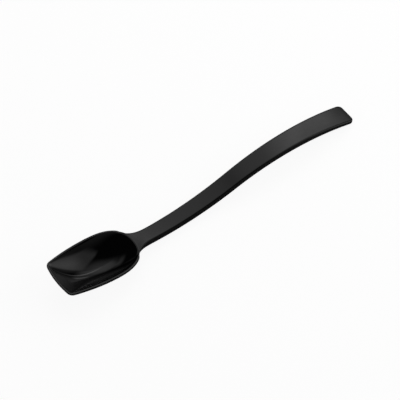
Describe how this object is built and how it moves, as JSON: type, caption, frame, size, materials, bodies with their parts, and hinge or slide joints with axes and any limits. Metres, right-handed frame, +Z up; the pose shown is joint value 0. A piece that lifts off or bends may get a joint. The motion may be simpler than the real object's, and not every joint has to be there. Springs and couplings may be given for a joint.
{
  "type": "serving spoon",
  "caption": "Black moulded buffet serving spoon with a deep square-fronted bowl and a long S-curved flat handle that widens to its tip.",
  "frame": {"origin": "on the table under the middle of the spoon's length, at rest on the heel of the bowl and the tip of the handle", "axes": "+X from the bowl's front lip towards the handle's tip, +Z up, and Y across, with the spoon alike on both sides of the XZ plane"},
  "size_m": [0.2548, 0.0406, 0.0211],
  "materials": {
    "spoon_plastic": "glossy black moulding, polished inside the bowl and a little softer along the handle"
  },
  "bodies": {
    "root": {"spoon": "spoon_plastic"}
  },
  "joints": []
}
